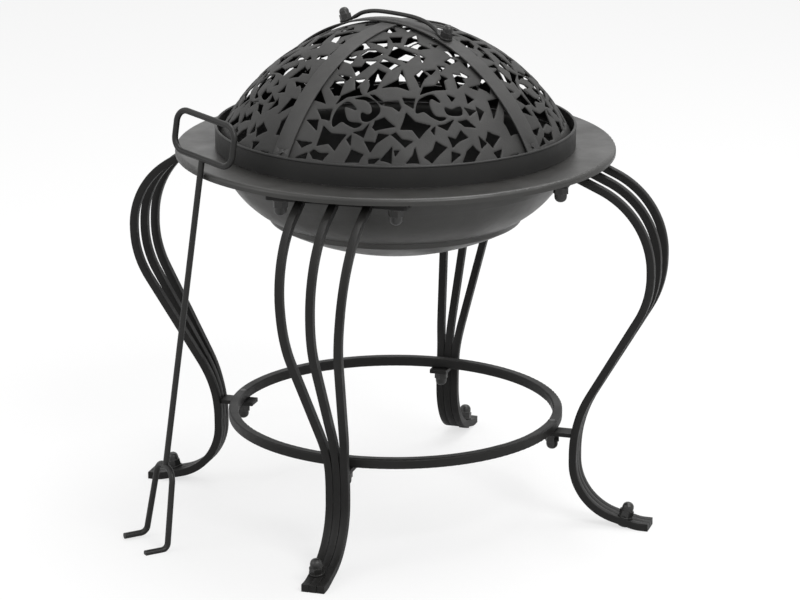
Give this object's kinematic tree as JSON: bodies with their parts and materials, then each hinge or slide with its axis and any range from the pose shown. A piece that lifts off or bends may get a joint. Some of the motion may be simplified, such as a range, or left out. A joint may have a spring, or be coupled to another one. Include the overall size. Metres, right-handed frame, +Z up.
{
  "type": "fire bowl",
  "caption": "Round steel fire bowl on curved fanned legs tied by a ring, with a pierced leaf-pattern dome lid and a leaning poker.",
  "frame": {"origin": "on the floor below the middle of the bowl, at the bottom centre of the bounding box", "axes": "+Z up; the legs stand on +X, +Y, -X and -Y, and the poker leans on the rim between -X and -Y"},
  "size_m": [0.5408, 0.5408, 0.5108],
  "materials": {
    "bowl_black": "satin black heat-resistant paint",
    "leg_black": "satin black powder coat",
    "rod_black": "satin black powder coat",
    "fret_black": "fine-textured matte black paint",
    "band_black": "satin black paint",
    "strap_black": "fine-textured matte black paint",
    "fastener_black": "black-finished steel fasteners"
  },
  "bodies": {
    "stand": {"bowl": "bowl_black", "leg_right_bar_a": "leg_black", "leg_right_bar_b": "leg_black", "leg_right_bar_c": "leg_black", "leg_back_bar_a": "leg_black", "leg_back_bar_b": "leg_black", "leg_back_bar_c": "leg_black", "leg_left_bar_a": "leg_black", "leg_left_bar_b": "leg_black", "leg_left_bar_c": "leg_black", "leg_front_bar_a": "leg_black", "leg_front_bar_b": "leg_black", "leg_front_bar_c": "leg_black", "leg_right_strip": "leg_black", "leg_back_strip": "leg_black", "leg_left_strip": "leg_black", "leg_front_strip": "leg_black", "ring": "leg_black", "leg_right_tab": "leg_black", "leg_back_tab": "leg_black", "leg_left_tab": "leg_black", "leg_front_tab": "leg_black", "rim_studs": "fastener_black", "rim_spacers": "fastener_black", "rim_washers": "fastener_black", "rim_nuts": "fastener_black", "ring_bolts": "fastener_black", "ring_washers": "fastener_black", "ring_nuts": "fastener_black", "foot_bolts": "fastener_black", "foot_washers": "fastener_black", "foot_nuts": "fastener_black"},
    "lid": {"lid_band": "band_black", "lid_panel_right": "fret_black", "lid_panel_back": "fret_black", "lid_panel_left": "fret_black", "lid_panel_front": "fret_black", "lid_strap_under": "strap_black", "lid_strap_over": "strap_black", "strap_rivets": "fastener_black", "lid_handle": "strap_black", "handle_bolts": "fastener_black", "handle_nuts": "fastener_black"},
    "poker": {"poker_shaft": "rod_black", "poker_loop": "rod_black", "poker_fork": "rod_black"}
  },
  "joints": [
    {"name": "lid_lift", "type": "slide", "parent": "stand", "child": "lid", "axis": [0, 0, 1], "range_m": [0, 0.25]},
    {"name": "poker_lift", "type": "slide", "parent": "stand", "child": "poker", "axis": [0, 0, 1], "range_m": [0, 0.45]}
  ]
}
